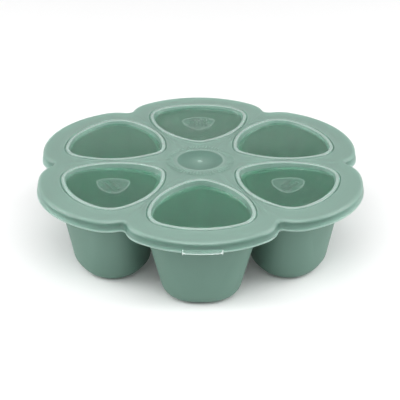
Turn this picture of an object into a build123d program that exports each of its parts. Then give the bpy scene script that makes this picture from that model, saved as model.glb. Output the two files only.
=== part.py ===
from build123d import *
import os
from math import atan2, cos, degrees, hypot, radians, sin, sqrt

# Baby food freezer tray: a soft six-cup tray under a flower-shaped cover.
# Millimetres, +Z up, the cups stand on z = 0, the tray's middle is the Z axis.
# Six equal cells lie round the middle, counted anticlockwise seen from above.
# The first is at the front, towards -Y, where the cover has its pull tab.

# Driving dimensions
CELL_NAMES = ["front", "front_right", "back_right", "back", "back_left", "front_left"]
BADGED_CELLS = ["front_right", "back", "front_left"]
FIRST_CELL_DEG = -90
CELL_STEP_DEG = 360 / len(CELL_NAMES)

EDGE_Z = 55.0               # level of the cover's top edge
DOME_RISE = 2.0             # how much higher the middle of the cover is
LOBE_TIP = 105.5            # from the middle to the top edge of a lobe
LOBE_R = 59.9               # radius of a lobe's wide outer curve
SHOULDER_R = 19.8           # radius of a lobe's two shoulders
SHOULDER_DEG = 37.4         # direction, from the lobe's centre, where a shoulder starts
NOTCH_R = 3.8               # inside radius of the notch between two lobes
EDGE_ROUND = 2.4            # rounding along the cover's top edge

COVER_T = 1.6               # thickness of the cover's plate
SKIRT_T = 1.4               # thickness of its skirt, lip and tab
SKIRT_FLARE = 0.06          # how much the skirt leans out for each mm down
LIP_GROW = 0.7              # how far the lip stands outside the top edge
LIP_Z = 48.5                # lower edge of the lip
LIP_H = 1.0
LIP_ROUND = 0.3
TAB_W = 23.0                # pull tab on the front lobe
TAB_Z = 47.7                # its lower edge
TAB_H = 2.7
TAB_ROUND = 0.5

RING_W = 2.8                # raised ring round each window
RING_H = 0.4
RING_ROUND = 0.35
WINDOW_TOP_Z = 54.3
WINDOW_T = 1.1
WINDOW_DRAFT = 0.25         # lean of the recess wall, mm out for each mm up
RECESS_WALL = 1.5

HUB_R = 14.8                # shallow dish in the middle of the cover
HUB_DEPTH = 0.9
NUB_R = 1.5                 # small knob in the middle of the dish
NUB_H = 0.9

BADGE_T = 0.8               # flat plaque on three of the windows

DECK_TOP_Z = 52.2           # sheet that joins the cups
DECK_T = 2.5
DECK_GROW = -1.7            # its edge lies this far inside the cover's top edge
DECK_ROUND = 0.8
CUP_WALL = 2.0
RIM_TOP_Z = 52.9            # seal bead round each cup's mouth
RIM_ROUND = 0.6
FOOT_R = 10.4               # rounding from a cup's wall to its floor
FOOT_START_DEG = 11.5       # direction in which the wall faces down, where the rounding starts
FOOT_STEPS = 6              # sections down the rounding

# Outlines of a cell, rounded triangles with the point towards the middle:
# point, base, half width, then the radii of point, corners, sides and base.
WINDOW_OUTLINE = (29.8, 88.0, 29.2, 8.8, 14.0, 46.0, 48.0)
CUP_TOP_OUTLINE = (30.9, 93.5, 33.4, 12.5, 16.0, 66.0, 57.0)
CUP_FOOT_OUTLINE = (39.0, 85.3, 24.4, 21.4, 19.9, 60.0, 50.0)
BADGE_OUTLINE = (50.5, 70.5, 10.7, 4.6, 5.4, 21.0, 18.0)

CLEAR = 4.0                 # how far a cutting shape runs past what it cuts
HIGH_Z = EDGE_Z + DOME_RISE + CLEAR
DECK_BOTTOM_Z = DECK_TOP_Z - DECK_T
WINDOW_BOTTOM_Z = WINDOW_TOP_Z - WINDOW_T
LOBE_CENTRE = LOBE_TIP - LOBE_R


def cell_turn(index):
    return Rot(0, 0, FIRST_CELL_DEG + CELL_STEP_DEG * index)


def arc(centre, radius, start, end):
    """Arc about a centre, from one direction to another, in degrees."""
    def at(angle):
        return (centre[0] + radius * cos(radians(angle)), centre[1] + radius * sin(radians(angle)))
    return ThreePointArc(at(start), at((start + end) / 2), at(end))


def heading(start, end):
    return degrees(atan2(end[1] - start[1], end[0] - start[0]))


def face_at(edges, z):
    return Pos(0, 0, z) * Face(Wire(edges))


def flower(grow, z):
    """Six-lobed outline of the cover, grown outwards by a distance."""
    reach = LOBE_R - SHOULDER_R
    lobe = (LOBE_CENTRE, 0)
    shoulder_x = LOBE_CENTRE + reach * cos(radians(SHOULDER_DEG))
    shoulder_y = reach * sin(radians(SHOULDER_DEG))
    shoulder = (shoulder_x, shoulder_y)
    # The notch's round has its centre on the line between two lobes.
    between = radians(CELL_STEP_DEG / 2)
    along = shoulder_x * cos(between) + shoulder_y * sin(between)
    across = shoulder_x * sin(between) - shoulder_y * cos(between)
    notch_distance = along + sqrt((SHOULDER_R + NOTCH_R) ** 2 - across**2)
    notch = (notch_distance * cos(between), notch_distance * sin(between))
    into_notch = heading(shoulder, notch)
    notch_start = into_notch + 180
    notch_end = CELL_STEP_DEG + 360 - notch_start
    one_lobe = [
        arc((shoulder_x, -shoulder_y), SHOULDER_R + grow, -into_notch, -SHOULDER_DEG),
        arc(lobe, LOBE_R + grow, -SHOULDER_DEG, SHOULDER_DEG),
        arc(shoulder, SHOULDER_R + grow, SHOULDER_DEG, into_notch),
        arc(notch, NOTCH_R - grow, notch_start, notch_end),
    ]
    edges = [cell_turn(index) * edge for index in range(len(CELL_NAMES)) for edge in one_lobe]
    return face_at(edges, z)


def cell_outline(outline, grow, z):
    """Rounded triangle of one cell, along +X, grown outwards by a distance."""
    point, base, half = outline[0] - grow, outline[1] + grow, outline[2] + grow
    point_r, corner_r, side_r, base_r = (radius + grow for radius in outline[3:])
    tip = (point + point_r, 0)
    base_centre = (base - base_r, 0)
    corner_y = half - corner_r
    corner = (base_centre[0] + sqrt((base_r - corner_r) ** 2 - corner_y**2), corner_y)
    # A side's centre lies so that its arc meets the point's and the corner's smoothly.
    span = hypot(corner[0] - tip[0], corner[1] - tip[1])
    along = ((side_r - point_r) ** 2 - (side_r - corner_r) ** 2 + span**2) / (2 * span)
    off = sqrt((side_r - point_r) ** 2 - along**2)
    ux, uy = (corner[0] - tip[0]) / span, (corner[1] - tip[1]) / span
    side = (tip[0] + along * ux + off * uy, tip[1] + along * uy - off * ux)
    tip_end = heading(side, tip)
    corner_start = heading(side, corner)
    corner_end = heading(base_centre, corner)
    edges = [
        arc(base_centre, base_r, -corner_end, corner_end),
        arc(corner, corner_r, corner_end, corner_start),
        arc(side, side_r, corner_start, tip_end),
        arc(tip, point_r, tip_end, 360 - tip_end),
        arc((side[0], -side[1]), side_r, -tip_end, -corner_start),
        arc((corner[0], -corner[1]), corner_r, -corner_start, -corner_end),
    ]
    return face_at(edges, z)


def ball(top_z, radius):
    """Sphere under its highest level, turned so that its poles and seam are out of the way."""
    return Pos(0, 0, top_z - radius) * Rot(0, 90, 0) * Sphere(radius)


def bowl(bottom_z, radius):
    """Sphere over its lowest level, turned the other way for the same reason."""
    return Pos(0, 0, bottom_z + radius) * Rot(0, -90, 0) * Sphere(radius)


def below_dome(raise_by):
    """Everything under the cover's slightly domed top, raised or lowered."""
    radius = (LOBE_TIP**2 + DOME_RISE**2) / (2 * DOME_RISE)
    return ball(EDGE_Z + DOME_RISE + raise_by, radius)


def edges_at_dome(shape):
    return shape.faces().filter_by(GeomType.SPHERE).edges()


def flower_body(grow_at_edge, low_z, high_z):
    """Solid flower whose side leans out downwards, as the skirt does."""
    low_grow = grow_at_edge + (EDGE_Z - low_z) * SKIRT_FLARE
    high_grow = grow_at_edge + (EDGE_Z - high_z) * SKIRT_FLARE
    return loft([flower(low_grow, low_z), flower(high_grow, high_z)], ruled=True)


def window_body(grow, low_z, high_z):
    """Solid filling one window's recess, which widens upwards."""
    low_grow = grow + (low_z - EDGE_Z) * WINDOW_DRAFT
    high_grow = grow + (high_z - EDGE_Z) * WINDOW_DRAFT
    low = cell_outline(WINDOW_OUTLINE, low_grow, low_z)
    high = cell_outline(WINDOW_OUTLINE, high_grow, high_z)
    return loft([low, high], ruled=True)


def make_window_ring():
    """Rounded bead that stands round one window."""
    ring = window_body(RING_W, WINDOW_TOP_Z, HIGH_Z) & below_dome(RING_H)
    ring -= window_body(0, WINDOW_BOTTOM_Z, HIGH_Z)
    return fillet(edges_at_dome(ring), RING_ROUND)


def make_lip():
    """Band all round the foot of the skirt."""
    outside = extrude(flower(LIP_GROW, LIP_Z), LIP_H)
    outside = fillet(outside.edges().filter_by(GeomType.CIRCLE), LIP_ROUND)
    return outside - extrude(flower(LIP_GROW - SKIRT_T, LIP_Z), LIP_H)


def make_tab():
    """Deeper stretch of the lip, to lift the cover by."""
    tab = extrude(flower(LIP_GROW, TAB_Z) - flower(LIP_GROW - SKIRT_T, TAB_Z), TAB_H)
    tab &= Pos(0, -LOBE_TIP, TAB_Z + TAB_H / 2) * Box(TAB_W, LOBE_R, TAB_H)
    front_face = tab.faces().sort_by(Axis.Y)[0]
    return fillet(front_face.edges(), TAB_ROUND)


def make_hub():
    """What the shallow dish takes off the cover, and the small knob in it."""
    dish_z = EDGE_Z + DOME_RISE - HUB_DEPTH
    dish_r = (HUB_R**2 + HUB_DEPTH**2) / (2 * HUB_DEPTH)
    nub_r = (NUB_R**2 + NUB_H**2) / (2 * NUB_H)
    nub = ball(dish_z + NUB_H, nub_r) - below_dome(-COVER_T)
    return bowl(dish_z, dish_r), nub


def make_cover():
    """Plate, skirt, lip, pull tab, raised rings and recess walls, in one moulding."""
    outer = flower_body(0, LIP_Z, HIGH_Z) & below_dome(0)
    outer = fillet(edges_at_dome(outer), EDGE_ROUND)
    inner = flower_body(-SKIRT_T, LIP_Z - CLEAR, HIGH_Z) & below_dome(-COVER_T)
    cover = outer - inner + make_lip() + make_tab()
    for index in range(len(CELL_NAMES)):
        turn = cell_turn(index)
        cover += turn * (window_body(RECESS_WALL, WINDOW_BOTTOM_Z, HIGH_Z) & below_dome(0))
        cover -= turn * window_body(0, WINDOW_BOTTOM_Z - CLEAR, HIGH_Z)
        cover += turn * make_window_ring()
    dish, nub = make_hub()
    return cover - dish + nub


def make_window(index):
    """Clear floor of one recess, seen through to the cup below."""
    return cell_turn(index) * window_body(0, WINDOW_BOTTOM_Z, WINDOW_TOP_Z)


def make_badge(index):
    """Plain raised plaque on a window."""
    return cell_turn(index) * extrude(cell_outline(BADGE_OUTLINE, 0, WINDOW_TOP_Z), BADGE_T)


def cup_body(inset):
    """A cup's outer shape, or with an inset its inside: a leaning wall on a round foot."""
    start = radians(FOOT_START_DEG)
    foot = []
    for step in range(FOOT_STEPS + 1):
        angle = start + (radians(90) - start) * step / FOOT_STEPS
        grow = (FOOT_R - inset) * cos(angle) - FOOT_R * cos(start)
        z = FOOT_R - (FOOT_R - inset) * sin(angle)
        foot.append(cell_outline(CUP_FOOT_OUTLINE, grow, z))
    top = cell_outline(CUP_TOP_OUTLINE, -inset * cos(start), DECK_BOTTOM_Z)
    return loft([top, foot[0]], ruled=True) + loft(foot)


def make_cup(index):
    """One cup: a thin round-footed wall and its seal bead."""
    neck_h = RIM_TOP_Z - DECK_BOTTOM_Z
    neck = extrude(cell_outline(CUP_TOP_OUTLINE, 0, DECK_BOTTOM_Z), neck_h)
    mouth = extrude(cell_outline(CUP_TOP_OUTLINE, -CUP_WALL, DECK_BOTTOM_Z), neck_h + CLEAR)
    cup = cup_body(0) + neck - mouth - cup_body(CUP_WALL)
    rim_face = cup.faces().sort_by(Axis.Z)[-1]
    return cell_turn(index) * fillet(rim_face.edges(), RIM_ROUND)


def make_deck():
    """Flat sheet that joins the cups."""
    deck = extrude(flower(DECK_GROW, DECK_BOTTOM_Z), DECK_T)
    deck = fillet(deck.edges().filter_by(GeomType.CIRCLE), DECK_ROUND)
    for index in range(len(CELL_NAMES)):
        hole = extrude(cell_outline(CUP_TOP_OUTLINE, 0, DECK_BOTTOM_Z), DECK_T)
        deck -= cell_turn(index) * hole
    return deck


def save(shape, name):
    export_step(shape.solid(), f"parts/{name}.step")


os.makedirs("parts", exist_ok=True)
save(make_deck(), "tray_deck")
save(make_cover(), "lid_cover")
for cell, cell_name in enumerate(CELL_NAMES):
    save(make_cup(cell), f"cup_{cell_name}")
    save(make_window(cell), f"window_{cell_name}")
    if cell_name in BADGED_CELLS:
        save(make_badge(cell), f"badge_{cell_name}")
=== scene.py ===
import math
from collections import namedtuple

import bpy
from mathutils import Matrix, Vector


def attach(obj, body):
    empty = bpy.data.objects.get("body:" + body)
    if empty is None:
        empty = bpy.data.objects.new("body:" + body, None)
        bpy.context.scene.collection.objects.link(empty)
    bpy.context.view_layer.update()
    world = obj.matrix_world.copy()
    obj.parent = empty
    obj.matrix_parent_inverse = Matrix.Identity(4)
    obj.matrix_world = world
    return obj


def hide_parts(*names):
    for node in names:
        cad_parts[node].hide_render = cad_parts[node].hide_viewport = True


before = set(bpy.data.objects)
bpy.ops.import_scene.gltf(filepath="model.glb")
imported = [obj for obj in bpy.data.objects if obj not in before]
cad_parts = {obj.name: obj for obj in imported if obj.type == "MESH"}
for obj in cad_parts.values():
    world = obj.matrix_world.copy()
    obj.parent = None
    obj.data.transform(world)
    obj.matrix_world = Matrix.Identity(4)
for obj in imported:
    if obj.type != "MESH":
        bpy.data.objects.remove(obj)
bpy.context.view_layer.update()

# Baby food freezer tray: a soft silicone moulding of six cups under a frosted
# flower-shaped cover with a clear window over each cup.
# Sizes are millimetres in the moulds' own frame; meshes, camera and studio are in metres.
MM = 0.001
CELL_NAMES = ["front", "front_right", "back_right", "back", "back_left", "front_left"]
PLAQUE_CELLS = ["front_right", "back", "front_left"]
FIRST_CELL_DEG = -90.0
CELL_STEP_DEG = 60.0
HALF_CELL_DEG = CELL_STEP_DEG / 2

# A cell's rounded triangle, its tip towards the middle: how far out its tip and base lie, half its
# width, and the radii of its tip, corners, sides and base
CellOutline = namedtuple("CellOutline", "tip base half_width tip_r corner_r side_r base_r")

# Cover
EDGE_Z = 55.0
DOME_RISE = 2.0
LOBE_TIP = 105.5
LOBE_R = 59.9
SHOULDER_R = 19.8
SHOULDER_DEG = 37.4
NOTCH_R = 3.8
EDGE_ROUND = 2.4
COVER_T = 1.6
SKIRT_T = 1.4
SKIRT_FLARE = 0.06
LIP_GROW = 0.7
LIP_Z = 48.5
LIP_H = 1.0
LIP_ROUND = 0.3
INNER_ROUND = 0.8

# Pull tab
TAB_W = 23.0
TAB_Z = 47.7
TAB_H = 2.7
TAB_ROUND = 0.5
TAB_STEPS = 24

# Windows, each the floor of a recess, with a bead round the recess and a groove outside the bead
WINDOW_OUTLINE = CellOutline(29.8, 88.0, 29.2, 8.8, 14.0, 46.0, 48.0)
WINDOW_TOP_Z = 54.3
WINDOW_T = 1.1
WINDOW_DRAFT = 0.25
WINDOW_GAP = 0.02
WINDOW_ROUND = 0.15
PANE_EDGE_RISE = 0.5       # faces whose normal rises less than this are a pane's edge
RECESS_WALL = 1.5
BEAD_H = 0.4
BEAD_ROUND = 0.9
BEAD_CREST = 2.0
BEAD_FOOT = 2.9
GROOVE_END = 3.6
GROOVE_DEPTH = 0.45

# Dish in the middle of the cover, with its knob and ribs
DISH_R = 14.8
DISH_DEPTH = 0.9
KNOB_R = 1.5
KNOB_H = 0.9
DISC_R = 17.0              # the round middle that the six cells' sectors leave free
RIB_COUNT = 60
RIB_MIDDLE_R = 18.8
RIB_SIZE = (5.0, 0.55, 0.28)

# Plaque on three of the windows, with rows of bars on its field
PLAQUE_OUTLINE = CellOutline(50.5, 70.5, 10.7, 4.6, 5.4, 21.0, 18.0)
PLAQUE_T = 0.8
PLAQUE_RIM = 0.6
PLAQUE_FIELD_DEPTH = 0.15
BAR_SIZE = (2.1, 1.1, 0.2)
BAR_ROWS = 2
BARS_IN_ROW = 5
BAR_PITCH = (4.4, 2.5)
BAR_OFFSET = 2.1           # how far out from the plaque's middle the rows are centred

# How cloudy the cover's plastic looks, from 0, nearly clear, to 1, white; some values also paint
# highlights and shade into its colour
PLATE_FROST = 0.5
# cloudier plastic on the bead, with a painted highlight along its crest
BEAD_FROST_AND_HIGHLIGHT = 0.78
# nearly clear in the groove, with painted shade in it
GROOVE_CLEAR_AND_PAINTED_SHADE = 0.0
WALL_FROST = 0.42
# painted highlight along the rounded edge, with cloudier plastic there
EDGE_FROST_AND_HIGHLIGHT = 0.7
SKIRT_FROST = 0.1
SKIRT_FOOT_FROST = 0.3
TAB_FROST = 0.33
PANE_EDGE_FROST = 0.95
# painted highlight along the lip
LIP_PAINTED_HIGHLIGHT = 0.62
KNOB_FROST = 0.6
RIB_FROST = 0.58
# painted highlight line outside the groove
RIM_LINE_PAINTED_HIGHLIGHT = 0.72
FROST_DRIFT = 0.06
# In the dish, at each distance from the middle: painted shade inside the dish, darkest just inside the
# rim, and a painted highlight along the rim
DISH_PAINTED_SHADE_AND_HIGHLIGHT = (
    (2.5, 0.42), (5.0, 0.34), (8.0, 0.24), (13.5, 0.18), (14.2, 0.36), (DISH_R, 0.7), (15.4, 0.52),
)

# The cover's plastic where it is nearly clear and where it is cloudy; its colours, dark to light, also
# paint its shade and highlights
FROST_TRANSMISSION = (0.92, 0.5)
FROST_ROUGHNESS = (0.38, 0.24)
FROST_AND_PAINTED_LIGHT_COLOURS = ((0.24, 0.52, 0.42), (0.46, 0.68, 0.59), (0.74, 0.88, 0.83))

# Darker and lighter colour of the other finishes, which drift between the two
SILICONE_COLOURS = ((0.112, 0.204, 0.163), (0.122, 0.219, 0.176))
WINDOW_COLOURS = ((0.28, 0.93, 0.61), (0.32, 0.95, 0.65))
PLAQUE_COLOURS = ((0.42, 0.62, 0.54), (0.48, 0.68, 0.60))
PLAQUE_RIM_COLOURS = ((0.52, 0.70, 0.62), (0.58, 0.76, 0.68))
BAR_COLOURS = ((0.09, 0.18, 0.14), (0.12, 0.22, 0.17))
DRIFT_BAND = (0.35, 0.65)  # the noise values between which a colour drifts
PLASTIC_IOR = 1.49
SILICONE_IOR = 1.41

# Silicone tray
CUP_TOP_OUTLINE = CellOutline(30.9, 93.5, 33.4, 12.5, 16.0, 66.0, 57.0)
CUP_FOOT_OUTLINE = CellOutline(39.0, 85.3, 24.4, 21.4, 19.9, 60.0, 50.0)
DECK_TOP_Z = 52.2
DECK_T = 2.5
DECK_LOW_Z = DECK_TOP_Z - DECK_T
DECK_GROW = -1.7
DECK_ROUND = 0.8
CUP_WALL = 2.0
RIM_TOP_Z = 52.9
RIM_ROUND = 0.6
RIM_ROUND_END_DEG = 30     # where the rim's rounding ends on its outer side
RIM_FILLET = 0.3
ROOT_FILLET = 1.6
FOOT_R = 10.4
FOOT_START_DEG = 11.5

# How finely the shapes are divided
RIM_STEP = 1.7
SPOKE_STEP = 2.1
FILLET_STEPS = 3
SMALL_ARC_STEPS = 4
ROUND_STEPS = 5
KNOB_STEPS = 6
EDGE_STEPS = 10
FOOT_STEPS = 10
PLATE_ROWS = 4
DECK_ROWS = 3
WALL_ROWS = (0.02, 0.2, 0.4, 0.6, 0.8, 0.98)     # shares of the way down a cup's wall
FLOOR_ROWS = (0.35, 0.7, 0.9)                    # shares of the way out over a cup's floor
FOLD = 0.25                # a row this close to a rounding keeps the shading of the flat beside it
DISH_ROWS = (2.5, 3.7, 5.0, 6.5, 8.0, 10.0, 12.0, 13.5, 14.2, DISH_R, DISH_R + 2 * FOLD, 16.0, DISC_R)
DISC_ROWS = (9.0, DISC_R)
BLOCK_BEVEL = 1 / 3        # share of a small block's least side
BLOCK_BEVEL_STEPS = 2
MERGE_DISTANCE = 0.002

# Camera: a long lens, a little above the tray
CAMERA_AZIMUTH_DEG = -0.92
CAMERA_HEIGHT_DEG = 25.53
CAMERA_DISTANCE = 0.9778
CAMERA_ROLL_DEG = 0.15
AIM = Vector((0.1 * MM, 0.0, 28.9 * MM))
FRAME_SIDE_PX = 400
FOCAL_PX = 1563.3
SENSOR_MM = 36.0
CLIP_START = 0.05

# Studio
FLOOR_SIZE = 8.0
FLOOR_GREY = 0.88
FLOOR_ROUGHNESS = 0.8
FLOOR_GLOW = 0.05
CEILING_LIGHT = 0.80
WALL_LIGHT = 0.33
WALL_TOP_RISE = 0.45       # sine of the height where the dark walls start to give way to the ceiling
# Softboxes: place, what each points at, width and height, and power
SOFTBOXES = {
    "front_softbox": ((0.0, -0.42, 0.55), (0.0, -0.08, 0.05), (0.6, 0.4), 2.9),
    "back_softbox": ((0.0, 2.0, 0.5), (0.0, 0.0, 0.5), (2.4, 0.95), 1.6),
    "left_softbox": ((-1.1, 0.0, 0.5), (0.0, 0.0, 0.05), (0.9, 0.9), 9.4),
    "right_softbox": ((1.1, 0.0, 0.5), (0.0, 0.0, 0.05), (0.9, 0.9), 9.6),
}


# Outlines in plan: rows of arcs, each with a point and an outward direction along it

class Arc:
    """Part of a circle from one direction to another; a hollow one has its centre outside."""

    def __init__(self, centre, radius, start, end, hollow=False):
        self.centre = Vector(centre)
        self.radius = radius
        self.start = start
        self.end = end
        self.hollow = hollow

    def length(self):
        return self.radius * math.radians(abs(self.end - self.start))

    def spot(self, share):
        """Point and outward direction at a share of the way along."""
        angle = math.radians(self.start + (self.end - self.start) * share)
        way = Vector((math.cos(angle), math.sin(angle)))
        return self.centre + way * self.radius, -way if self.hollow else way

    def nearest_share(self, point):
        way = point - self.centre
        middle = (self.start + self.end) / 2
        turned = (math.degrees(math.atan2(way.y, way.x)) - middle + 180) % 360 - 180
        return min(1.0, max(0.0, 0.5 + turned / (self.end - self.start)))


def heading(start, end):
    return math.degrees(math.atan2(end[1] - start[1], end[0] - start[0]))


def cell_arcs(outline):
    """Rounded triangle of one cell, along +X with its tip towards the middle."""
    tip_out, base, half_width, tip_r, corner_r, side_r, base_r = outline
    tip = (tip_out + tip_r, 0.0)
    base_centre = (base - base_r, 0.0)
    corner_y = half_width - corner_r
    corner = (base_centre[0] + math.sqrt((base_r - corner_r) ** 2 - corner_y**2), corner_y)
    span = math.dist(corner, tip)
    along = ((side_r - tip_r) ** 2 - (side_r - corner_r) ** 2 + span**2) / (2 * span)
    off = math.sqrt((side_r - tip_r) ** 2 - along**2)
    ux, uy = (corner[0] - tip[0]) / span, (corner[1] - tip[1]) / span
    side = (tip[0] + along * ux + off * uy, tip[1] + along * uy - off * ux)
    tip_end = heading(side, tip)
    corner_start = heading(side, corner)
    corner_end = heading(base_centre, corner)
    return [
        Arc(base_centre, base_r, -corner_end, corner_end),
        Arc(corner, corner_r, corner_end, corner_start),
        Arc(side, side_r, corner_start, tip_end),
        Arc(tip, tip_r, tip_end, 360 - tip_end),
        Arc((side[0], -side[1]), side_r, -tip_end, -corner_start),
        Arc((corner[0], -corner[1]), corner_r, -corner_start, -corner_end),
    ]


def lobe_arcs():
    """One lobe of the flower, along +X, from the middle of a notch to the next one's."""
    reach = LOBE_R - SHOULDER_R
    lobe = (LOBE_TIP - LOBE_R, 0.0)
    shoulder_x = lobe[0] + reach * math.cos(math.radians(SHOULDER_DEG))
    shoulder_y = reach * math.sin(math.radians(SHOULDER_DEG))
    half_cell = math.radians(HALF_CELL_DEG)
    along = shoulder_x * math.cos(half_cell) + shoulder_y * math.sin(half_cell)
    across = shoulder_x * math.sin(half_cell) - shoulder_y * math.cos(half_cell)
    notch_distance = along + math.sqrt((SHOULDER_R + NOTCH_R) ** 2 - across**2)
    notch = (notch_distance * math.cos(half_cell), notch_distance * math.sin(half_cell))
    into_notch = heading((shoulder_x, shoulder_y), notch)
    notch_middle = HALF_CELL_DEG + 180
    return [
        Arc((notch[0], -notch[1]), NOTCH_R, -notch_middle, -into_notch - 180, hollow=True),
        Arc((shoulder_x, -shoulder_y), SHOULDER_R, -into_notch, -SHOULDER_DEG),
        Arc(lobe, LOBE_R, -SHOULDER_DEG, SHOULDER_DEG),
        Arc((shoulder_x, shoulder_y), SHOULDER_R, SHOULDER_DEG, into_notch),
        Arc(notch, NOTCH_R, into_notch + 180, notch_middle, hollow=True),
    ]


def edge_spots():
    """Spots along one lobe's edge, ends included."""
    spots = []
    for arc in lobe_arcs():
        steps = max(SMALL_ARC_STEPS, math.ceil(arc.length() / RIM_STEP))
        spots += [arc.spot(step / steps) for step in range(steps)]
    return spots + [arc.spot(1.0)]


def polar(radius, angle_deg):
    angle = math.radians(angle_deg)
    return Vector((radius * math.cos(angle), radius * math.sin(angle)))


class Sector:
    """One sixth of the flower round its cell: the lobe's edge, two spokes and an arc at the middle.

    Its border runs anticlockwise. Each border point is tied to the nearest place on
    the cell's outline, so that rows of points spread evenly between the two.
    """

    def __init__(self, outline, foot_outline=None):
        self.edge = edge_spots()
        spoke_end = self.edge[0][0].length - EDGE_ROUND
        still = Vector((0.0, 0.0))
        spokes = math.ceil((spoke_end - DISC_R) / SPOKE_STEP)
        radii = [spoke_end + (DISC_R - spoke_end) * step / spokes for step in range(1, spokes + 1)]
        turns = disc_turns()
        border = [(polar(radius, HALF_CELL_DEG), still) for radius in radii]
        border += [(polar(DISC_R, turn), still) for turn in reversed(turns[1:-1])]
        border += [(polar(radius, -HALF_CELL_DEG), still) for radius in reversed(radii)]
        self.border = self.edge + border
        arcs = cell_arcs(outline)
        foot_arcs = cell_arcs(foot_outline or outline)
        self.cell = []
        self.foot = []
        for point, _ in self.border:
            shares = [arc.nearest_share(point) for arc in arcs]
            gaps = [(arc.spot(share)[0] - point).length for arc, share in zip(arcs, shares)]
            index = gaps.index(min(gaps))
            self.cell.append(arcs[index].spot(shares[index]))
            self.foot.append(foot_arcs[index].spot(shares[index]))

    def cell_centre(self):
        return sum((point for point, _ in self.foot), Vector((0.0, 0.0))) / len(self.foot)


def disc_turns():
    """Directions of the points round the sector's arc at the middle."""
    steps = math.ceil(DISC_R * math.radians(CELL_STEP_DEG) / RIM_STEP)
    return [-HALF_CELL_DEG + CELL_STEP_DEG * step / steps for step in range(steps + 1)]


def disc_row(radius):
    """Points at a distance from the middle round the sector's arc, or the middle's one point."""
    return [polar(radius, turn) for turn in disc_turns()] if radius else [Vector((0.0, 0.0))]


def dome_z(point):
    """Level of the cover's slightly domed top over a point in plan."""
    radius = (LOBE_TIP**2 + DOME_RISE**2) / (2 * DOME_RISE)
    return EDGE_Z + DOME_RISE - radius + math.sqrt(radius**2 - point.length_squared)


def grown(spots, grow):
    return [point + way * grow for point, way in spots]


def at_z(points, z):
    return [Vector((point.x, point.y, z)) for point in points]


def between(low_row, high_row, share):
    return [low.lerp(high, share) for low, high in zip(low_row, high_row)]


def even_shares(count):
    """Even shares between two rows, the ends left out."""
    return [step / (count + 1) for step in range(1, count + 1)]


def round_off(centre, radius, start, end, steps=ROUND_STEPS):
    """Points of a rounding in a section: distance out and level."""
    angles = [math.radians(start + (end - start) * step / steps) for step in range(steps + 1)]
    return [(centre[0] + radius * math.cos(a), centre[1] + radius * math.sin(a)) for a in angles]


# Skins: rows of points joined by faces

class Skin:
    """Mesh that grows row by row. Going up, over and down a wall keeps its faces outwards."""

    def __init__(self):
        self.points = []
        self.faces = []
        self.frost_and_painted_light = []

    def add_rows(self, rows, closed, frost_and_painted_light=None):
        """Join rows one after another. Frost says how cloudy the plastic of each row looks, and also
        carries painted highlights and shade.
        """
        indices = [self.add_points(row) for row in rows]
        for row, cloudiness_and_painted_light in zip(rows, frost_and_painted_light or [PLATE_FROST] * len(rows)):
            self.frost_and_painted_light += [cloudiness_and_painted_light] * len(row)
        for row, following in zip(indices, indices[1:]):
            self.join(row, following, closed)

    def add_points(self, row):
        start = len(self.points)
        self.points += [point * MM for point in row]
        return list(range(start, len(self.points)))

    def join(self, row, following, closed):
        count = max(len(row), len(following))
        for step in range(count if closed else count - 1):
            after = (step + 1) % count
            if len(row) == 1:
                self.faces.append((row[0], following[step], following[after]))
            elif len(following) == 1:
                self.faces.append((row[step], following[0], row[after]))
            else:
                self.faces.append((row[step], following[step], following[after], row[after]))

    def mesh(self, name):
        mesh = bpy.data.meshes.new(name)
        mesh.from_pydata(self.points, [], self.faces)
        mesh.attributes.new("frost_and_painted_light", "FLOAT", "POINT").data.foreach_set("value", self.frost_and_painted_light)
        mesh.update()
        return mesh


def make_object(name, mesh, material=None):
    piece = bpy.data.objects.new(name, mesh)
    bpy.context.scene.collection.objects.link(piece)
    if material:
        mesh.materials.append(material)
    for polygon in mesh.polygons:
        polygon.use_smooth = True
    return piece


def applied(piece):
    """The piece with its modifiers made plain mesh."""
    graph = bpy.context.evaluated_depsgraph_get()
    mesh = bpy.data.meshes.new_from_object(piece.evaluated_get(graph))
    piece.modifiers.clear()
    piece.data = mesh
    return piece


# Geometry Nodes

class Tree:
    """Geometry Nodes tree with named inputs, which ends in Realize Instances and Set Material."""

    def __init__(self, name, sockets):
        self.tree = bpy.data.node_groups.new(name, "GeometryNodeTree")
        face = self.tree.interface
        face.new_socket("Geometry", in_out="INPUT", socket_type="NodeSocketGeometry")
        for socket_name, kind in sockets.items():
            face.new_socket(socket_name, in_out="INPUT", socket_type=kind)
        face.new_socket("Finish", in_out="INPUT", socket_type="NodeSocketMaterial")
        face.new_socket("Geometry", in_out="OUTPUT", socket_type="NodeSocketGeometry")
        self.given = self.tree.nodes.new("NodeGroupInput").outputs

    def node(self, kind, links=None, **settings):
        node = self.tree.nodes.new(kind)
        for key, value in settings.items():
            setattr(node, key, value)
        for socket_name, source in (links or {}).items():
            if isinstance(source, bpy.types.NodeSocket):
                self.tree.links.new(source, node.inputs[socket_name])
            else:
                node.inputs[socket_name].default_value = source
        return node.outputs

    def maths(self, operation, first, second):
        return self.node("ShaderNodeMath", {0: first, 1: second}, operation=operation)[0]

    def spin(self, angle):
        """Rotation about Z by an angle."""
        euler = self.node("ShaderNodeCombineXYZ", {"Z": angle})[0]
        return self.node("FunctionNodeEulerToRotation", {0: euler})[0]

    def end(self, instances, merge_distance=None):
        mesh = self.node("GeometryNodeRealizeInstances", {"Geometry": instances})[0]
        if merge_distance:
            links = {"Geometry": mesh, "Distance": merge_distance}
            mesh = self.node("GeometryNodeMergeByDistance", links)[0]
        links = {"Geometry": mesh, "Material": self.given["Finish"]}
        mesh = self.node("GeometryNodeSetMaterial", links)[0]
        self.node("NodeGroupOutput", {"Geometry": mesh})

    def run(self, piece, values):
        """Give the inputs their values on this piece, and make the result plain mesh."""
        modifier = piece.modifiers.new(self.tree.name, "NODES")
        modifier.node_group = self.tree
        for item in self.tree.interface.items_tree:
            if item.item_type == "SOCKET" and item.in_out == "INPUT" and item.name in values:
                modifier[item.identifier] = values[item.name]
        return applied(piece)


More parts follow.
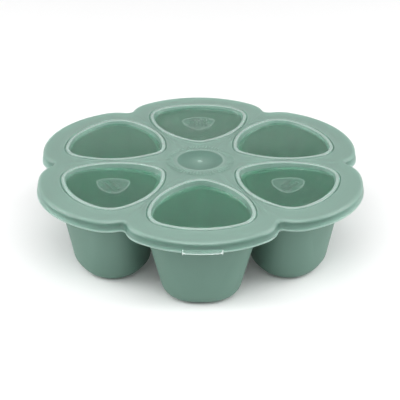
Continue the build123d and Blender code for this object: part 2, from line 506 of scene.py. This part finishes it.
def cells_round_tree():
    """Copies of one cell's sector, turned round the middle and sewn together."""
    sockets = {"Cells": "NodeSocketInt", "First Turn": "NodeSocketFloat", "Sew": "NodeSocketFloat"}
    tree = Tree("cells_round_the_middle", sockets)
    given = tree.given
    points = tree.node("GeometryNodePoints", {"Count": given["Cells"]})[0]
    index = tree.node("GeometryNodeInputIndex")[0]
    step = tree.maths("DIVIDE", math.tau, given["Cells"])
    turn = tree.maths("ADD", tree.maths("MULTIPLY", index, step), given["First Turn"])
    links = {"Points": points, "Instance": given["Geometry"], "Rotation": tree.spin(turn)}
    copies = tree.node("GeometryNodeInstanceOnPoints", links)[0]
    tree.end(copies, given["Sew"])
    return tree


def ribs_round_tree():
    """Ribs set in a ring, each pointing away from the middle."""
    sockets = {"Ribs": "NodeSocketInt", "Ring Radius": "NodeSocketFloat", "Level": "NodeSocketFloat"}
    tree = Tree("ribs_round_the_dish", sockets)
    given = tree.given
    index = tree.node("GeometryNodeInputIndex")[0]
    turn = tree.maths("MULTIPLY", index, tree.maths("DIVIDE", math.tau, given["Ribs"]))
    x = tree.maths("MULTIPLY", tree.maths("COSINE", turn, 0.0), given["Ring Radius"])
    y = tree.maths("MULTIPLY", tree.maths("SINE", turn, 0.0), given["Ring Radius"])
    place = tree.node("ShaderNodeCombineXYZ", {"X": x, "Y": y, "Z": given["Level"]})[0]
    points = tree.node("GeometryNodePoints", {"Count": given["Ribs"], "Position": place})[0]
    links = {"Points": points, "Instance": given["Geometry"], "Rotation": tree.spin(turn)}
    tree.end(tree.node("GeometryNodeInstanceOnPoints", links)[0])
    return tree


def bars_in_rows_tree():
    """Bars set in even rows about one place."""
    sockets = {
        "Rows": "NodeSocketInt", "Bars": "NodeSocketInt",
        "Row Pitch": "NodeSocketFloat", "Bar Pitch": "NodeSocketFloat",
        "Middle": "NodeSocketVector",
    }
    tree = Tree("bars_in_rows", sockets)
    given = tree.given
    row_gaps = tree.maths("SUBTRACT", given["Rows"], 1.0)
    bar_gaps = tree.maths("SUBTRACT", given["Bars"], 1.0)
    links = {
        "Size X": tree.maths("MULTIPLY", row_gaps, given["Row Pitch"]),
        "Size Y": tree.maths("MULTIPLY", bar_gaps, given["Bar Pitch"]),
        "Vertices X": given["Rows"], "Vertices Y": given["Bars"],
    }
    grid = tree.node("GeometryNodeMeshGrid", links)[0]
    grid = tree.node("GeometryNodeTransform", {"Geometry": grid, "Translation": given["Middle"]})[0]
    links = {"Points": grid, "Instance": given["Geometry"]}
    tree.end(tree.node("GeometryNodeInstanceOnPoints", links)[0])
    return tree


def six_round(name, skin, tree, material):
    piece = make_object(name, skin.mesh(name))
    values = {
        "Cells": len(CELL_NAMES), "First Turn": math.radians(FIRST_CELL_DEG),
        "Sew": MERGE_DISTANCE * MM, "Finish": material,
    }
    return tree.run(piece, values)


# Cover

def soft_fall(share):
    """Smooth way down from 1 to 0."""
    return (1 + math.cos(math.pi * share)) / 2


def bead_section():
    """Bead and groove outside a window: distance out from the recess, height over the dome."""
    section = []
    for step in range(ROUND_STEPS + 1):
        angle = math.radians(180 - 90 * step / ROUND_STEPS)
        out = BEAD_ROUND * (1 + math.cos(angle))
        section.append((out, BEAD_H - BEAD_ROUND * (1 - math.sin(angle))))
    fall = BEAD_H + GROOVE_DEPTH
    steps = 2 * ROUND_STEPS
    for step in range(steps + 1):
        out = BEAD_CREST + (BEAD_FOOT - BEAD_CREST) * step / steps
        section.append((out, fall * soft_fall(step / steps) - GROOVE_DEPTH))
    for step in range(1, ROUND_STEPS + 1):
        out = BEAD_FOOT + (GROOVE_END - BEAD_FOOT) * step / ROUND_STEPS
        section.append((out, -GROOVE_DEPTH * soft_fall(step / ROUND_STEPS)))
    return section + [(GROOVE_END + FOLD, 0.0)]


def bead_frost_and_painted_light():
    """Cloudier on the bead with a painted highlight, clearer in the groove with painted shade, and a
    painted highlight line outside it.
    """
    frost_and_painted_light = []
    for _, height in bead_section():
        if height > 0:
            frost_and_painted_light.append(PLATE_FROST + (BEAD_FROST_AND_HIGHLIGHT - PLATE_FROST) * math.sqrt(height / BEAD_H))
        else:
            share = max(height, -GROOVE_DEPTH) / -GROOVE_DEPTH
            frost_and_painted_light.append(PLATE_FROST + (GROOVE_CLEAR_AND_PAINTED_SHADE - PLATE_FROST) * share)
    return [WALL_FROST] + frost_and_painted_light[1:-2] + [RIM_LINE_PAINTED_HIGHLIGHT, PLATE_FROST]


def over_dome(points, height):
    return [Vector((point.x, point.y, dome_z(point) + height)) for point in points]


def recess_lean(z):
    """How far the recess wall stands out at a level, since the recess widens upwards."""
    return (z - EDGE_Z) * WINDOW_DRAFT


def near_window(sector, out, height):
    """Row round the window, a distance outside the recess and a height over the dome."""
    row = []
    for point, way in sector.cell:
        lean = recess_lean(dome_z(point))
        row += over_dome([point + way * (out + lean)], height)
    return row


def recess_row(sector, out, z):
    return at_z(grown(sector.cell, out + recess_lean(z)), z)


def bend_rows(sector, section, fall):
    """Rows round a bend along the edge, a fall under the top, which is domed and rises to the notches."""
    rises = [dome_z(point) - EDGE_Z for point, _ in sector.edge]
    rows = []
    for out, drop in section:
        row = []
        for (point, way), rise in zip(sector.edge, rises):
            place = point + way * (out + (fall - rise) * SKIRT_FLARE)
            row.append(Vector((place.x, place.y, EDGE_Z + rise - fall + drop)))
        rows.append(row)
    return rows


def skirt_rows(sector):
    """From the plate's border over the rounded edge, down the skirt, round the lip and up inside."""
    lean = math.atan(SKIRT_FLARE)
    bend = (-EDGE_ROUND * (1 - math.sin(lean)) / math.cos(lean), -EDGE_ROUND)
    edge = round_off(bend, EDGE_ROUND, 90, math.degrees(lean), EDGE_STEPS)
    lip_top = LIP_Z + LIP_H
    foot_of_skirt = (EDGE_Z - lip_top) * SKIRT_FLARE
    fold_up = FOLD * SKIRT_FLARE
    lip_out = LIP_GROW - LIP_ROUND
    section = [(foot_of_skirt - fold_up, lip_top + FOLD), (foot_of_skirt, lip_top)]
    section += round_off((lip_out, lip_top - LIP_ROUND), LIP_ROUND, 90, 0, SMALL_ARC_STEPS)
    section += round_off((lip_out, LIP_Z + LIP_ROUND), LIP_ROUND, 0, -90, SMALL_ARC_STEPS)
    inside_foot = (EDGE_Z - LIP_Z) * SKIRT_FLARE - SKIRT_T
    section += [(inside_foot + FOLD, LIP_Z), (inside_foot, LIP_Z), (inside_foot - fold_up, LIP_Z + FOLD)]
    skirt = [at_z(grown(sector.edge, out), z) for out, z in section]
    bend_out = -SKIRT_T - INNER_ROUND * (1 - math.sin(lean)) / math.cos(lean)
    inside = round_off((bend_out, -INNER_ROUND), INNER_ROUND, math.degrees(lean), 90)
    return bend_rows(sector, edge, 0.0) + skirt + bend_rows(sector, inside, COVER_T)


def skirt_frost_and_painted_highlights(count):
    """A painted highlight along the rounded edge, clearer and darker down the skirt, lighter at its foot,
    and a painted highlight at the lip.
    """
    frost_and_painted_light = [PLATE_FROST]
    for step in range(1, EDGE_STEPS + 1):
        share = step / EDGE_STEPS
        # painted highlight, strongest halfway round the edge
        painted_highlight = (EDGE_FROST_AND_HIGHLIGHT - PLATE_FROST) * math.sin(math.pi * share)
        frost_and_painted_light.append(PLATE_FROST + (SKIRT_FROST - PLATE_FROST) * share + painted_highlight)
    frost_and_painted_light += [SKIRT_FOOT_FROST] * 2 + [LIP_PAINTED_HIGHLIGHT] * 2 * (SMALL_ARC_STEPS + 1)
    return frost_and_painted_light + [SKIRT_FROST] * (count - len(frost_and_painted_light))


def plate_rows(inner_row, border_row, count):
    """Rows that spread from round the cell to the sector's border, both ends included."""
    spread = [between(inner_row, border_row, share) for share in even_shares(count)]
    return [inner_row, *spread, border_row]


def still_border(sector, height):
    """The border's spokes and middle arc, which don't move when the edge grows."""
    return over_dome([point for point, _ in sector.border[len(sector.edge):]], height)


def onto_dome(rows, height):
    return [over_dome(row, height) for row in rows]


def cover_sector():
    """One sixth of the cover, a closed shell but for the cuts to its neighbours."""
    sector = Sector(WINDOW_OUTLINE)
    skin = Skin()
    skirt = skirt_rows(sector)
    low = WINDOW_TOP_Z - WINDOW_T
    wall = [recess_row(sector, 0.0, low), recess_row(sector, 0.0, low + FOLD)]
    wall += [recess_row(sector, 0.0, WINDOW_TOP_Z)]
    bead = [near_window(sector, out, height) for out, height in bead_section()]
    plate = plate_rows(bead[-1], skirt[0] + still_border(sector, 0.0), PLATE_ROWS)
    top = plate[:1] + onto_dome(plate[1:-1], 0.0) + plate[-1:]
    frost_and_painted_light = [WALL_FROST] * len(wall) + bead_frost_and_painted_light() + [PLATE_FROST] * (len(top) - 1)
    skin.add_rows(wall + bead[:-1] + top, closed=True, frost_and_painted_light=frost_and_painted_light)
    skin.add_rows(skirt, closed=False, frost_and_painted_light=skirt_frost_and_painted_highlights(len(skirt)))
    below = near_window(sector, RECESS_WALL, -COVER_T)
    plate = plate_rows(skirt[-1] + still_border(sector, -COVER_T), below, PLATE_ROWS)
    under = plate[:1] + onto_dome(plate[1:-1], -COVER_T) + plate[-1:]
    under += [recess_row(sector, RECESS_WALL, low + FOLD), recess_row(sector, RECESS_WALL, low)]
    skin.add_rows(under + [recess_row(sector, RECESS_WALL / 2, low), wall[0]], closed=True)
    add_dish(skin)
    return skin


def dish_level(radius):
    """Level of the cover's top near the middle: the dome, the dish in it and the knob in the dish."""
    hollow_r = (DISH_R**2 + DISH_DEPTH**2) / (2 * DISH_DEPTH)
    floor = EDGE_Z + DOME_RISE - DISH_DEPTH
    level = min(floor + hollow_r - math.sqrt(hollow_r**2 - radius**2), dome_z(Vector((radius, 0.0))))
    if radius < KNOB_R:
        crown_r = (KNOB_R**2 + KNOB_H**2) / (2 * KNOB_H)
        return max(level, floor + KNOB_H - crown_r + math.sqrt(crown_r**2 - radius**2))
    return level


def dish_frost_and_painted_light(radius):
    """Cloudy on the knob, with painted shade inside the dish, clearest and darkest just inside the rim,
    and a painted highlight along the rim.
    """
    stops = [(KNOB_R, KNOB_FROST), *DISH_PAINTED_SHADE_AND_HIGHLIGHT, (DISC_R, PLATE_FROST)]
    if radius <= KNOB_R:
        return KNOB_FROST
    for (near, near_value), (far, far_value) in zip(stops, stops[1:]):
        if radius <= far:
            return near_value + (far_value - near_value) * (radius - near) / (far - near)
    return PLATE_FROST


def add_dish(skin):
    """Middle of the cover, inside the sector's arc: dish above, plain dome below."""
    knob = [KNOB_R * step / KNOB_STEPS for step in range(KNOB_STEPS + 1)]
    radii = [*knob, KNOB_R + FOLD, *DISH_ROWS]
    top = [at_z(disc_row(radius), dish_level(radius)) for radius in radii]
    skin.add_rows(top, closed=False, frost_and_painted_light=[dish_frost_and_painted_light(radius) for radius in radii])
    under = [over_dome(disc_row(radius), -COVER_T) for radius in (0.0, *DISC_ROWS)]
    skin.add_rows(under[::-1], closed=False)


def make_pull_tab(material):
    """Deeper stretch of the lip on the front lobe, with rounded edges."""
    lobe = Vector((LOBE_TIP - LOBE_R, 0.0))
    outer, inner = LOBE_R + LIP_GROW, LOBE_R + LIP_GROW - SKIRT_T
    half_turn = math.degrees(math.asin(TAB_W / 2 / outer))
    top_z = TAB_Z + TAB_H
    corners = [(inner, TAB_Z), (outer, TAB_Z), (outer, top_z), (inner, top_z)]
    skin = Skin()
    sections = []
    for step in range(TAB_STEPS + 1):
        turn = half_turn * (2 * step / TAB_STEPS - 1)
        section = [lobe + polar(radius, turn) for radius, _ in corners]
        sections.append([Vector((p.x, p.y, z)) for p, (_, z) in zip(section, corners)])
    skin.add_rows(sections, closed=True, frost_and_painted_light=[TAB_FROST] * len(sections))
    skin.faces.append((3, 2, 1, 0))
    last = len(skin.points) - len(corners)
    skin.faces.append((last, last + 1, last + 2, last + 3))
    skin.faces = [tuple(reversed(face)) for face in skin.faces]
    mesh = skin.mesh("pull_tab")
    mesh.transform(Matrix.Rotation(math.radians(FIRST_CELL_DEG), 4, "Z"))
    tab = make_object("pull_tab", mesh, material)
    bevel = tab.modifiers.new("soft_edges", "BEVEL")
    bevel.width = TAB_ROUND * MM
    bevel.segments = SMALL_ARC_STEPS
    return applied(tab)


# Windows and plaques

def pane_skin(outline, top_section, bottom_section, frost_and_painted_light=PLATE_FROST):
    """Flat closed plate with an outline: sections run from its middle out, over, and back under."""
    spots = Sector(outline).cell
    centre = sum((point for point, _ in spots), Vector((0.0, 0.0))) / len(spots)
    skin = Skin()
    rows = [at_z([centre], top_section[0][1])]
    for out, z in top_section + bottom_section:
        rows.append(at_z(grown(spots, out), z))
    rows.append(at_z([centre], bottom_section[-1][1]))
    skin.add_rows(rows, closed=True, frost_and_painted_light=[frost_and_painted_light] * len(rows))
    return skin


def make_window(index, clear, frosted):
    """Clear floor of one recess, bonded to the cover by its cloudy edge."""
    low = WINDOW_TOP_Z - WINDOW_T
    high_out = recess_lean(WINDOW_TOP_Z) - WINDOW_GAP
    low_out = recess_lean(low) - WINDOW_GAP
    inner = -WINDOW_ROUND - FOLD
    top = [(high_out + inner, WINDOW_TOP_Z)]
    high_bend = (high_out - WINDOW_ROUND, WINDOW_TOP_Z - WINDOW_ROUND)
    low_bend = (low_out - WINDOW_ROUND, low + WINDOW_ROUND)
    top += round_off(high_bend, WINDOW_ROUND, 90, 0, FILLET_STEPS)
    bottom = round_off(low_bend, WINDOW_ROUND, 0, -90, FILLET_STEPS)
    bottom += [(low_out + inner, low)]
    name = f"window_pane_{CELL_NAMES[index]}"
    skin = pane_skin(WINDOW_OUTLINE, top, bottom, PANE_EDGE_FROST)
    pane = make_object(name, skin.mesh(name), clear)
    pane.data.materials.append(frosted)
    for polygon in pane.data.polygons:
        polygon.material_index = int(abs(polygon.normal.z) < PANE_EDGE_RISE)
    return turned(pane, index)


def make_plaque(index, material, cloudy):
    """Plaque with a raised rim of a cloudier plastic round a slightly lower field."""
    top_z = WINDOW_TOP_Z + PLAQUE_T
    field_z = top_z - PLAQUE_FIELD_DEPTH
    soft = PLAQUE_FIELD_DEPTH
    top = [(-PLAQUE_RIM - soft - FOLD, field_z), (-PLAQUE_RIM - soft, field_z)]
    top += [(-PLAQUE_RIM, top_z)]
    top += round_off((-soft, top_z - soft), soft, 90, 0, FILLET_STEPS)
    bottom = [(0.0, WINDOW_TOP_Z), (-PLAQUE_RIM, WINDOW_TOP_Z)]
    name = f"plaque_{CELL_NAMES[index]}"
    plaque = make_object(name, pane_skin(PLAQUE_OUTLINE, top, bottom).mesh(name), material)
    plaque.data.materials.append(cloudy)
    rim_from = (field_z + PLAQUE_FIELD_DEPTH / 4) * MM
    for polygon in plaque.data.polygons:
        polygon.material_index = int(polygon.center.z > rim_from)
    return turned(plaque, index)


def soft_block(name, size, frost_and_painted_light):
    """Small block with bevelled edges, standing on z = 0."""
    length, width, height = (side * MM for side in size)
    x, y = length / 2, width / 2
    corners = [(*corner, z) for z in (0, height) for corner in ((-x, -y), (x, -y), (x, y), (-x, y))]
    sides = [(i, (i + 1) % 4, (i + 1) % 4 + 4, i + 4) for i in range(4)]
    mesh = bpy.data.meshes.new(name)
    mesh.from_pydata(corners, [], [(3, 2, 1, 0), (4, 5, 6, 7)] + sides)
    mesh.attributes.new("frost_and_painted_light", "FLOAT", "POINT").data.foreach_set("value", [frost_and_painted_light] * len(corners))
    block = make_object(name, mesh)
    bevel = block.modifiers.new("soft_edges", "BEVEL")
    bevel.width = min(size) * BLOCK_BEVEL * MM
    bevel.segments = BLOCK_BEVEL_STEPS
    return applied(block)


def turned(piece, index):
    piece.data.transform(Matrix.Rotation(math.radians(FIRST_CELL_DEG + CELL_STEP_DEG * index), 4, "Z"))
    return piece


def make_plaque_bars(index, tree, material):
    """Rows of small plain bars on the plaque's field."""
    bars = soft_block(f"plaque_bars_{CELL_NAMES[index]}", BAR_SIZE, PLATE_FROST)
    middle = (PLAQUE_OUTLINE.tip + PLAQUE_OUTLINE.base) / 2 + BAR_OFFSET
    level = WINDOW_TOP_Z + PLAQUE_T - PLAQUE_FIELD_DEPTH
    values = {
        "Rows": BAR_ROWS, "Bars": BARS_IN_ROW,
        "Row Pitch": BAR_PITCH[0] * MM, "Bar Pitch": BAR_PITCH[1] * MM,
        "Middle": (middle * MM, 0.0, level * MM), "Finish": material,
    }
    return turned(tree.run(bars, values), index)


def make_dish_ribs(tree, material):
    """Ring of short fine ribs round the dish."""
    ribs = soft_block("hub_ribs", RIB_SIZE, RIB_FROST)
    sunk = RIB_SIZE[2] / 2
    level = dome_z(Vector((RIB_MIDDLE_R, 0.0))) - sunk
    values = {"Ribs": RIB_COUNT, "Ring Radius": RIB_MIDDLE_R * MM, "Level": level * MM, "Finish": material}
    return tree.run(ribs, values)


# Silicone tray

def cup_row(sector, share, out, z):
    """Row round a cup between its mouth's outline, share 0, and its foot's, share 1."""
    row = []
    for (top, top_way), (foot, foot_way) in zip(sector.cell, sector.foot):
        way = top_way.lerp(foot_way, share).normalized()
        point = top.lerp(foot, share) + way * out
        row.append(Vector((point.x, point.y, z)))
    return row


def foot_rows(sector, inset):
    """Rounding from a cup's wall to its floor, from the wall down."""
    start = math.radians(FOOT_START_DEG)
    rows = []
    for step in range(FOOT_STEPS + 1):
        angle = start + (math.pi / 2 - start) * step / FOOT_STEPS
        out = (FOOT_R - inset) * math.cos(angle) - FOOT_R * math.cos(start)
        rows.append(cup_row(sector, 1.0, out, FOOT_R - (FOOT_R - inset) * math.sin(angle)))
    return rows


def floor_rows(sector, edge_row):
    """From the middle of a cup's floor out to the rounding."""
    centre = sector.cell_centre()
    z = edge_row[0].z
    middle = [Vector((centre.x, centre.y, z)) for _ in edge_row]
    return [middle[:1]] + [between(middle, edge_row, share) for share in FLOOR_ROWS]


def wall_rows(top_row, foot_row):
    return [between(top_row, foot_row, share) for share in WALL_ROWS]


def cup_inside_rows(sector):
    """From the middle of a cup's floor, up its inner wall and over its rim to the deck's top."""
    foot = foot_rows(sector, CUP_WALL)
    mouth = cup_row(sector, 0.0, -CUP_WALL, DECK_LOW_Z)
    rim = [(-CUP_WALL, DECK_LOW_Z), (-CUP_WALL, RIM_TOP_Z - RIM_ROUND - FOLD)]
    rim += round_off((-CUP_WALL + RIM_ROUND, RIM_TOP_Z - RIM_ROUND), RIM_ROUND, 180, 90)
    rim += round_off((-RIM_ROUND, RIM_TOP_Z - RIM_ROUND), RIM_ROUND, 90, RIM_ROUND_END_DEG)
    rim += round_off((RIM_FILLET, DECK_TOP_Z + RIM_FILLET), RIM_FILLET, 180, 270, FILLET_STEPS)
    rim += [(RIM_FILLET + FOLD, DECK_TOP_Z)]
    rows = floor_rows(sector, foot[-1]) + foot[::-1] + wall_rows(mouth, foot[0])[::-1]
    return rows + [cup_row(sector, 0.0, out, z) for out, z in rim]


def cup_outside_rows(sector):
    """From the fillet under the deck, down a cup's outer wall to the middle of its underside."""
    root = [(ROOT_FILLET + FOLD, DECK_LOW_Z)]
    root += round_off((ROOT_FILLET, DECK_LOW_Z - ROOT_FILLET), ROOT_FILLET, 90, 180)
    rows = [cup_row(sector, 0.0, out, z) for out, z in root]
    foot = foot_rows(sector, 0.0)
    return rows + wall_rows(rows[-1], foot[0]) + foot + floor_rows(sector, foot[-1])[::-1]


def tray_sector():
    """One sixth of the silicone tray: a cup, its rim and its share of the deck."""
    sector = Sector(CUP_TOP_OUTLINE, CUP_FOOT_OUTLINE)
    skin = Skin()
    spokes = [point for point, _ in sector.border[len(sector.edge):]]
    inset = DECK_GROW - DECK_ROUND
    border = grown(sector.edge, inset) + spokes
    inside = cup_inside_rows(sector)
    skin.add_rows(inside + plate_rows(inside[-1], at_z(border, DECK_TOP_Z), DECK_ROWS)[1:], closed=True)
    rim = round_off((inset, DECK_TOP_Z - DECK_ROUND), DECK_ROUND, 90, 0)
    rim += round_off((inset, DECK_LOW_Z + DECK_ROUND), DECK_ROUND, 0, -90)
    skin.add_rows([at_z(grown(sector.edge, out), z) for out, z in rim], closed=False)
    outside = cup_outside_rows(sector)
    skin.add_rows(plate_rows(at_z(border, DECK_LOW_Z), outside[0], DECK_ROWS)[:-1] + outside, closed=True)
    discs = [disc_row(radius) for radius in (0.0, *DISC_ROWS)]
    skin.add_rows([at_z(row, DECK_TOP_Z) for row in discs], closed=False)
    skin.add_rows([at_z(row, DECK_LOW_Z) for row in discs[::-1]], closed=False)
    return skin


# Finishes

def socket(node, name, value):
    node.inputs[name].default_value = value


def new_material(name):
    material = bpy.data.materials.new(name)
    material.use_nodes = True
    shader = material.node_tree.nodes["Principled BSDF"]
    return material, material.node_tree, shader


def fine_texture(tree, shader, scale, strength, distance):
    """Fine texture of the mould's surface, as a bump. The place it reads goes on to other patterns."""
    place = tree.nodes.new("ShaderNodeTexCoord")
    noise = tree.nodes.new("ShaderNodeTexNoise")
    socket(noise, "Scale", scale)
    socket(noise, "Detail", 3.0)
    bump = tree.nodes.new("ShaderNodeBump")
    socket(bump, "Strength", strength)
    socket(bump, "Distance", distance)
    tree.links.new(place.outputs["Object"], noise.inputs["Vector"])
    tree.links.new(noise.outputs["Fac"], bump.inputs["Height"])
    tree.links.new(bump.outputs["Normal"], shader.inputs["Normal"])
    return place


def drifting_colour(tree, shader, place, scale, colours):
    """Slow drift between two near colours, as in a moulded surface."""
    noise = tree.nodes.new("ShaderNodeTexNoise")
    socket(noise, "Scale", scale)
    ramp = tree.nodes.new("ShaderNodeValToRGB")
    for stop, position, colour in zip(ramp.color_ramp.elements, DRIFT_BAND, colours):
        stop.position = position
        stop.color = (*colour, 1)
    tree.links.new(place.outputs["Object"], noise.inputs["Vector"])
    tree.links.new(noise.outputs["Fac"], ramp.inputs["Fac"])
    tree.links.new(ramp.outputs["Color"], shader.inputs["Base Color"])


def silicone_material():
    material, tree, shader = new_material("sage_silicone")
    socket(shader, "Roughness", 0.55)
    socket(shader, "IOR", SILICONE_IOR)
    place = fine_texture(tree, shader, scale=900.0, strength=0.15, distance=0.0002)
    drifting_colour(tree, shader, place, scale=25.0, colours=SILICONE_COLOURS)
    return material


def frosted_material():
    """Frosted plastic: light passes and scatters, more of it where the frost attribute is low. The same
    attribute paints highlights and shade into its colour.
    """
    material, tree, shader = new_material("frosted_cover_plastic")
    socket(shader, "IOR", PLASTIC_IOR)
    place = fine_texture(tree, shader, scale=1200.0, strength=0.1, distance=0.0001)
    frost_and_painted_light = tree.nodes.new("ShaderNodeAttribute")
    frost_and_painted_light.attribute_name = "frost_and_painted_light"
    drift = tree.nodes.new("ShaderNodeTexNoise")
    socket(drift, "Scale", 30.0)
    tree.links.new(place.outputs["Object"], drift.inputs["Vector"])
    patchy_frost_and_painted_light = tree.nodes.new("ShaderNodeMath")
    patchy_frost_and_painted_light.operation = "MULTIPLY_ADD"
    socket(patchy_frost_and_painted_light, 1, FROST_DRIFT)
    tree.links.new(drift.outputs["Fac"], patchy_frost_and_painted_light.inputs[0])
    tree.links.new(frost_and_painted_light.outputs["Fac"], patchy_frost_and_painted_light.inputs[2])
    # colour from dark to light, which also paints shade and highlights
    colour = tree.nodes.new("ShaderNodeValToRGB")
    colour.color_ramp.elements[0].color = (*FROST_AND_PAINTED_LIGHT_COLOURS[0], 1)
    colour.color_ramp.elements[1].color = (*FROST_AND_PAINTED_LIGHT_COLOURS[2], 1)
    colour.color_ramp.elements.new(0.5).color = (*FROST_AND_PAINTED_LIGHT_COLOURS[1], 1)
    tree.links.new(patchy_frost_and_painted_light.outputs[0], colour.inputs["Fac"])
    tree.links.new(colour.outputs["Color"], shader.inputs["Base Color"])
    ranges = {"Transmission Weight": FROST_TRANSMISSION, "Roughness": FROST_ROUGHNESS}
    for name, (clear, cloudy) in ranges.items():
        share = tree.nodes.new("ShaderNodeMapRange")
        socket(share, "To Min", clear)
        socket(share, "To Max", cloudy)
        tree.links.new(patchy_frost_and_painted_light.outputs[0], share.inputs["Value"])
        tree.links.new(share.outputs["Result"], shader.inputs[name])
    return material


def thin_plastic(name, alpha, roughness, colours):
    """Thin plastic seen through, of which the alpha's share is its own colour."""
    material, tree, shader = new_material(name)
    socket(shader, "Roughness", roughness)
    socket(shader, "IOR", PLASTIC_IOR)
    socket(shader, "Alpha", alpha)
    socket(shader, "Specular IOR Level", 0.3)
    place = fine_texture(tree, shader, scale=900.0, strength=0.05, distance=0.0003)
    drifting_colour(tree, shader, place, scale=30.0, colours=colours)
    return material


def window_material():
    """Clear plastic with a green tint and a gloss."""
    material, tree, shader = new_material("clear_window_plastic")
    socket(shader, "Roughness", 0.06)
    socket(shader, "IOR", PLASTIC_IOR)
    socket(shader, "Transmission Weight", 0.95)
    socket(shader, "Alpha", 0.62)
    place = fine_texture(tree, shader, scale=40.0, strength=0.05, distance=0.0003)
    drifting_colour(tree, shader, place, scale=30.0, colours=WINDOW_COLOURS)
    return material


def plaque_material():
    return thin_plastic("etched_plaque_plastic", alpha=0.07, roughness=0.4, colours=PLAQUE_COLOURS)


def plaque_rim_material():
    return thin_plastic("plaque_rim_plastic", alpha=0.27, roughness=0.35, colours=PLAQUE_RIM_COLOURS)


def plaque_bar_material():
    return thin_plastic("plaque_bar_plastic", alpha=0.6, roughness=0.5, colours=BAR_COLOURS)


# Camera and studio

def make_camera():
    turn, tilt = math.radians(CAMERA_AZIMUTH_DEG), math.radians(CAMERA_HEIGHT_DEG)
    away = Vector((math.sin(turn) * math.cos(tilt), -math.cos(turn) * math.cos(tilt), math.sin(tilt)))
    camera = bpy.data.objects.new("camera", bpy.data.cameras.new("camera"))
    bpy.context.scene.collection.objects.link(camera)
    camera.location = Vector((0, 0, EDGE_Z * MM)) + away * CAMERA_DISTANCE
    look = (AIM - camera.location).to_track_quat("-Z", "Y").to_matrix()
    roll = Matrix.Rotation(math.radians(CAMERA_ROLL_DEG), 3, "Z")
    camera.rotation_euler = (look @ roll).to_euler()
    camera.data.sensor_width = SENSOR_MM
    camera.data.lens = SENSOR_MM * FOCAL_PX / FRAME_SIDE_PX
    camera.data.clip_start = CLIP_START
    bpy.context.scene.camera = camera


def softbox(name, place, aim, size, power):
    light = bpy.data.lights.new(name, "AREA")
    light.shape = "RECTANGLE"
    light.size, light.size_y = size
    light.energy = power
    lamp = bpy.data.objects.new(name, light)
    bpy.context.scene.collection.objects.link(lamp)
    lamp.location = place
    lamp.rotation_euler = (Vector(aim) - Vector(place)).to_track_quat("-Z", "Y").to_euler()


def make_surroundings():
    """Room round the tray: a bright ceiling that fades into dim walls."""
    world = bpy.data.worlds.new("studio")
    bpy.context.scene.world = world
    world.use_nodes = True
    tree = world.node_tree
    background = tree.nodes["Background"]
    socket(background, "Color", (1, 1, 1, 1))
    way = tree.nodes.new("ShaderNodeTexCoord")
    rise = tree.nodes.new("ShaderNodeSeparateXYZ")
    fade = tree.nodes.new("ShaderNodeMapRange")
    fade.interpolation_type = "SMOOTHSTEP"
    socket(fade, "From Min", WALL_TOP_RISE)
    socket(fade, "To Min", WALL_LIGHT)
    socket(fade, "To Max", CEILING_LIGHT)
    tree.links.new(way.outputs["Generated"], rise.inputs["Vector"])
    tree.links.new(rise.outputs["Z"], fade.inputs["Value"])
    tree.links.new(fade.outputs["Result"], background.inputs["Strength"])


def make_studio():
    bpy.ops.mesh.primitive_plane_add(size=FLOOR_SIZE)
    floor = bpy.context.object
    floor.name = "floor"
    material, _, shader = new_material("white_floor")
    socket(shader, "Base Color", (FLOOR_GREY, FLOOR_GREY, FLOOR_GREY, 1))
    socket(shader, "Roughness", FLOOR_ROUGHNESS)
    socket(shader, "Emission Color", (1, 1, 1, 1))
    socket(shader, "Emission Strength", FLOOR_GLOW)
    floor.data.materials.append(material)
    make_surroundings()
    for name, values in SOFTBOXES.items():
        softbox(name, *values)
    bpy.context.scene.view_settings.view_transform = "Standard"


# Pieces on their bodies

def place_piece(piece, body, slot, *nodes):
    """Let a piece ride on its body, in place of the nodes it stands for. The slot is not used."""
    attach(piece, body)
    if nodes:
        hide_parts(*nodes)


def make_tray(cells_tree):
    tray = six_round("silicone_tray", tray_sector(), cells_tree, silicone_material())
    place_piece(tray, "tray", "tray_silicone", "tray_deck", *(f"cup_{name}" for name in CELL_NAMES))


def make_lid(cells_tree):
    frosted = frosted_material()
    clear = window_material()
    etched = plaque_material()
    rim = plaque_rim_material()
    bar = plaque_bar_material()
    cover = six_round("cover_moulding", cover_sector(), cells_tree, frosted)
    place_piece(cover, "lid", "cover_plastic", "lid_cover")
    place_piece(make_pull_tab(frosted), "lid", "cover_plastic")
    place_piece(make_dish_ribs(ribs_round_tree(), frosted), "lid", "cover_plastic")
    bars_tree = bars_in_rows_tree()
    for index, name in enumerate(CELL_NAMES):
        place_piece(make_window(index, clear, frosted), "lid", "window_plastic", f"window_{name}")
        if name in PLAQUE_CELLS:
            place_piece(make_plaque(index, etched, rim), "lid", "badge_plastic", f"badge_{name}")
            place_piece(make_plaque_bars(index, bars_tree, bar), "lid", "badge_plastic")


make_camera()
cells = cells_round_tree()
make_tray(cells)
make_lid(cells)
make_studio()
